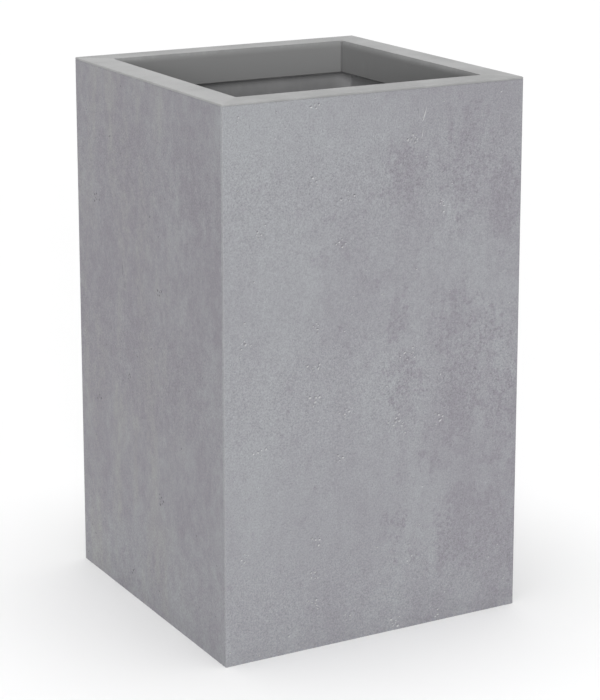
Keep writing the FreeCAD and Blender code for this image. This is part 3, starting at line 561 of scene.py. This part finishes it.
def pit_places(draw, clusters):
    """Where the pits of one side are, and how wide: those of each cluster, then lone ones."""
    pits = []

    def is_clear(across, up, radius):
        """Pebbles stay apart, however lumpy."""
        for other_across, other_up, other_radius in pits:
            reach = PEBBLE_LUMPS[1] * (radius + other_radius) + PIT_GAP
            if math.hypot(across - other_across, up - other_up) <= reach:
                return False
        return True

    def try_pit(across, up, share=1.0):
        radius = share * draw.uniform(*PIT_RADIUS)
        on_side = abs(across) < half_width(up) - PIT_MARGIN and PIT_MARGIN < up < SLEEVE_TOP - PIT_MARGIN
        if on_side and is_clear(across, up, radius):
            pits.append((across, up, radius))

    for turn in range(CLUSTER_REPEATS):
        for across, up in clusters:
            for _ in range(draw.randint(*PITS_IN_CLUSTER)):
                away = (draw.gauss(across, CLUSTER_SPREAD), draw.gauss(up, CLUSTER_SPREAD))
                try_pit(away[0], away[1] - turn * PRINT_REPEAT)
    for _ in range(LONE_PITS):
        try_pit(draw.uniform(-HALF_TOP, HALF_TOP), draw.uniform(0, SLEEVE_TOP), LONE_SHARE)
    return pits


def pit_mesh():
    """All the pebbles and scratches that are cut out of the sleeve's outside."""
    draw = random.Random(PIT_SEED)
    pebbles = bmesh.new()
    for side, clusters in CLUSTERS.items():
        for across, up, radius in pit_places(draw, clusters):
            depth = radius * draw.uniform(*PIT_DEPTH_SHARE)
            height = radius * draw.uniform(*PIT_HEIGHT_SHARE)
            lean = draw.uniform(0, math.pi)
            add_pebble(pebbles, side, across, up, lean, (radius, depth, height), draw)
    for side, across, up, length, lean in SCRATCHES:
        add_pebble(pebbles, side, across, up, lean, (SCRATCH_RADIUS, SCRATCH_RADIUS, length / 2), draw)
    for face in pebbles.faces:
        face.smooth = True
    mesh = bpy.data.meshes.new("pits")
    pebbles.to_mesh(mesh)
    pebbles.free()
    return mesh


def pitted_mesh():
    """The sleeve's plain solid with the pits and scratches cut out."""
    blank = bpy.data.objects.new("blank", NODES["outer_sleeve"].data.copy())
    pits = bpy.data.objects.new("pits", pit_mesh())
    for item in (blank, pits):
        bpy.context.scene.collection.objects.link(item)
    for polygon in blank.data.polygons:
        polygon.use_smooth = False
    blank.modifiers.new("weld", "WELD").merge_threshold = WELD_DISTANCE
    cut = blank.modifiers.new("cut", "BOOLEAN")
    cut.operation = "DIFFERENCE"
    cut.solver = "EXACT"
    cut.object = pits
    ready = bpy.context.evaluated_depsgraph_get()
    mesh = bpy.data.meshes.new_from_object(blank.evaluated_get(ready))
    for item in (blank, pits):
        bpy.data.objects.remove(item)
    return mesh


def pitted_sleeve(outside, inside):
    """The sleeve with its pits, in place of the plain solid. Its inner faces are plain plastic."""
    mesh = pitted_mesh()
    mesh.materials.clear()
    mesh.materials.append(outside)
    mesh.materials.append(inside)
    for polygon in mesh.polygons:
        reach = max(abs(polygon.center.x), abs(polygon.center.y))
        polygon.material_index = 0 if reach > half_width(polygon.center.z) - HALF_WALL else 1
    sleeve = bpy.data.objects.new("concrete_sleeve", mesh)
    bpy.context.scene.collection.objects.link(sleeve)
    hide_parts("outer_sleeve")
    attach(sleeve, "planter")


def wear(node, material):
    """Gives a piece of the frame its material."""
    mesh = NODES[node].data
    mesh.materials.clear()
    mesh.materials.append(material)


def dress():
    """Every piece in its material."""
    concrete = ConcreteEffect().made()
    # The sleeve's inner walls get painted light.
    inside = plain_plastic("sleeve_inside", INSIDE_COLOURS, INSIDE_FINISH, painted_lighting=wall_painted_light)
    pitted_sleeve(concrete, inside)
    # The rim gets painted shade by place, and painted shade in its mouth's corners.
    rim = plain_plastic(
        "rim_plastic", RIM_COLOURS, RIM_FINISH, painted_shading=rim_painted_shade, painted_lighting=mouth_corner_shade, gloss=RIM_GLOSS
    )
    wear("rim_frame", rim)
    wear("base_tray", plain_plastic("dark_plastic", TRAY_COLOURS, TRAY_FINISH))
    wear("planting_insert", plain_plastic("insert_plastic", INSERT_COLOURS, INSERT_FINISH, FLECK_SCALE))
    wear("drain_plug", plain_plastic("plug_plastic", PLUG_COLOURS, PLUG_FINISH))
    handle = plain_plastic("handle_plastic", HANDLE_COLOURS, HANDLE_FINISH)
    rubber = plain_plastic("foot_rubber", RUBBER_COLOURS, RUBBER_FINISH)
    for node in NODES:
        if node.startswith("insert_handle"):
            wear(node, handle)
        if node.startswith("foot_pad") or node == "drain_gasket":
            wear(node, rubber)


def make_floor():
    """A wide pale floor."""
    mesh = bpy.data.meshes.new("floor")
    corners = [(sx * FLOOR_HALF, sy * FLOOR_HALF, 0) for sx, sy in ((-1, -1), (1, -1), (1, 1), (-1, 1))]
    mesh.from_pydata(corners, [], [(0, 1, 2, 3)])
    floor = bpy.data.objects.new("floor", mesh)
    bpy.context.scene.collection.objects.link(floor)
    graph = Graph("floor")
    shade = graph.noise(*FLOOR_FIELD)
    relief = graph.bump(shade, FLOOR_RELIEF)
    mesh.materials.append(graph.finish(FLOOR_COLOUR, graph.ramp(shade, *FLOOR_ROUGHNESS), relief))


def make_sky():
    """An even sky that looks white, seen straight, mirrored or through glass."""
    world = bpy.data.worlds.new("sky")
    bpy.context.scene.world = world
    world.use_nodes = True
    nodes, links = world.node_tree.nodes, world.node_tree.links
    background = nodes["Background"]
    background.inputs["Color"].default_value = (1, 1, 1, 1)
    path = nodes.new("ShaderNodeLightPath")
    seen = path.outputs["Is Camera Ray"]
    for ray in ("Is Glossy Ray", "Is Transmission Ray"):
        either = nodes.new("ShaderNodeMath")
        either.operation = "MAXIMUM"
        links.new(seen, either.inputs[0])
        links.new(path.outputs[ray], either.inputs[1])
        seen = either.outputs[0]
    strength = nodes.new("ShaderNodeMapRange")
    links.new(seen, strength.inputs["Value"])
    strength.inputs["To Min"].default_value = SKY_STRENGTH
    strength.inputs["To Max"].default_value = 1
    links.new(strength.outputs[0], background.inputs["Strength"])


def make_lamps():
    for name, (strength, direction, spread) in (("overhead", OVERHEAD), ("fill", FILL)):
        lamp = bpy.data.lights.new(name, "SUN")
        lamp.energy = strength
        lamp.angle = spread
        lamp_object = bpy.data.objects.new(name, lamp)
        lamp_object.rotation_mode = "QUATERNION"
        lamp_object.rotation_quaternion = Vector(direction).to_track_quat("Z", "Y")
        bpy.context.scene.collection.objects.link(lamp_object)


def make_camera():
    camera = bpy.data.objects.new("camera", bpy.data.cameras.new("camera"))
    camera.data.lens = CAMERA_LENS
    camera.data.sensor_width = CAMERA_SENSOR
    camera.location = CAMERA_PLACE
    level = math.cos(CAMERA_ELEVATION)
    back = Vector(
        (math.sin(CAMERA_AZIMUTH) * level, -math.cos(CAMERA_AZIMUTH) * level, math.sin(CAMERA_ELEVATION))
    )
    camera.rotation_mode = "QUATERNION"
    camera.rotation_quaternion = (-back).to_track_quat("-Z", "Y")
    bpy.context.scene.collection.objects.link(camera)
    bpy.context.scene.camera = camera


bpy.context.scene.view_settings.view_transform = "Standard"
dress()
make_floor()
make_sky()
make_lamps()
make_camera()
